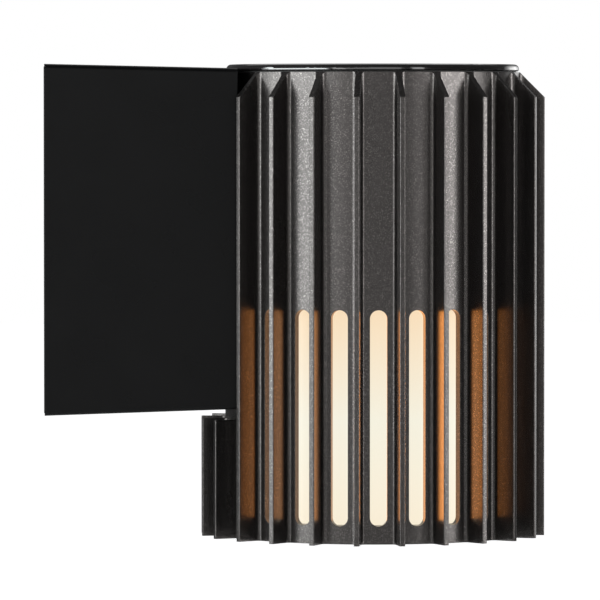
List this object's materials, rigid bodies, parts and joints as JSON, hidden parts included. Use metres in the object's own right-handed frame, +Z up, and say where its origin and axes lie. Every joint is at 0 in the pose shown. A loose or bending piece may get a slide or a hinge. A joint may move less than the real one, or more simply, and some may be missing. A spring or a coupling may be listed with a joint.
{
  "type": "outdoor wall light",
  "caption": "Round finned metal lamp with upright light slots and an opal diffuser, held off the wall by a drafted black box arm.",
  "frame": {"origin": "middle of the wall bracket's back face, on the wall", "axes": "+Y into the wall, -Y out into the room, +Z up, +X to the right seen from in front facing the wall"},
  "size_m": [0.114, 0.166, 0.1565],
  "materials": {
    "sparkle_black": "dark metallic textured powder coat",
    "satin_black_box": "smooth satin black paint",
    "gloss_black_cap": "glossy black paint",
    "opal_diffuser": "opal, lit from inside in warm white",
    "opal_bulb": "opal, lit in warm white",
    "zinc_steel": "zinc plated",
    "black_screw": "black oxide, slightly oily",
    "brass_metal": "bright",
    "nickel_shell": "nickel plated",
    "black_rubber": "matt",
    "white_ceramic": "glazed white",
    "white_plastic": "moulded, matt",
    "board_white": "white printed board",
    "black_glass": "black glass",
    "brown_sleeve": "soft sleeve",
    "blue_sleeve": "soft sleeve",
    "green_sleeve": "soft sleeve, green with a yellow stripe"
  },
  "bodies": {
    "bracket": {"wall_bracket": "zinc_steel", "cable_grommet": "black_rubber"},
    "light": {"wall_box": "satin_black_box", "box_gasket": "black_rubber", "locking_screws": "black_screw", "saddle_gasket": "black_rubber", "arm_washers": "zinc_steel", "arm_screws": "zinc_steel", "lead_bush": "black_rubber", "terminal_block": "white_plastic", "terminal_clamps": "brass_metal", "terminal_screws": "zinc_steel", "terminal_fixing_screw": "zinc_steel", "earth_tag": "brass_metal", "earth_screw": "zinc_steel", "live_lead": "brown_sleeve", "neutral_lead": "blue_sleeve", "earth_lead": "green_sleeve", "finned_body": "sparkle_black", "top_cap": "gloss_black_cap", "cap_gasket": "black_rubber", "cap_screws": "zinc_steel", "lamp_holder": "white_ceramic", "holder_shell": "brass_metal", "holder_contact": "brass_metal", "holder_screws": "zinc_steel"},
    "bulb": {"bulb_tip": "brass_metal", "bulb_insulator": "black_glass", "bulb_base": "nickel_shell", "bulb_collar": "white_plastic", "bulb_led_board": "board_white", "bulb_envelope": "opal_bulb"},
    "diffuser_unit": {"diffuser": "opal_diffuser", "diffuser_gasket": "black_rubber", "bottom_bezel": "sparkle_black", "bezel_gasket": "black_rubber", "bezel_screws": "black_screw"}
  },
  "joints": [
    {"name": "box_slide", "type": "slide", "parent": "bracket", "child": "light", "axis": [0, -1, 0], "range_m": [0, 0.03]},
    {"name": "bulb_turn", "type": "hinge", "parent": "light", "child": "bulb", "pos_m": [0, -0.109, 0.0135], "axis": [0, 0, -1], "range_deg": [0, 1260]},
    {"name": "diffuser_drop", "type": "slide", "parent": "light", "child": "diffuser_unit", "axis": [0, 0, -1], "range_m": [0, 0.115]}
  ]
}
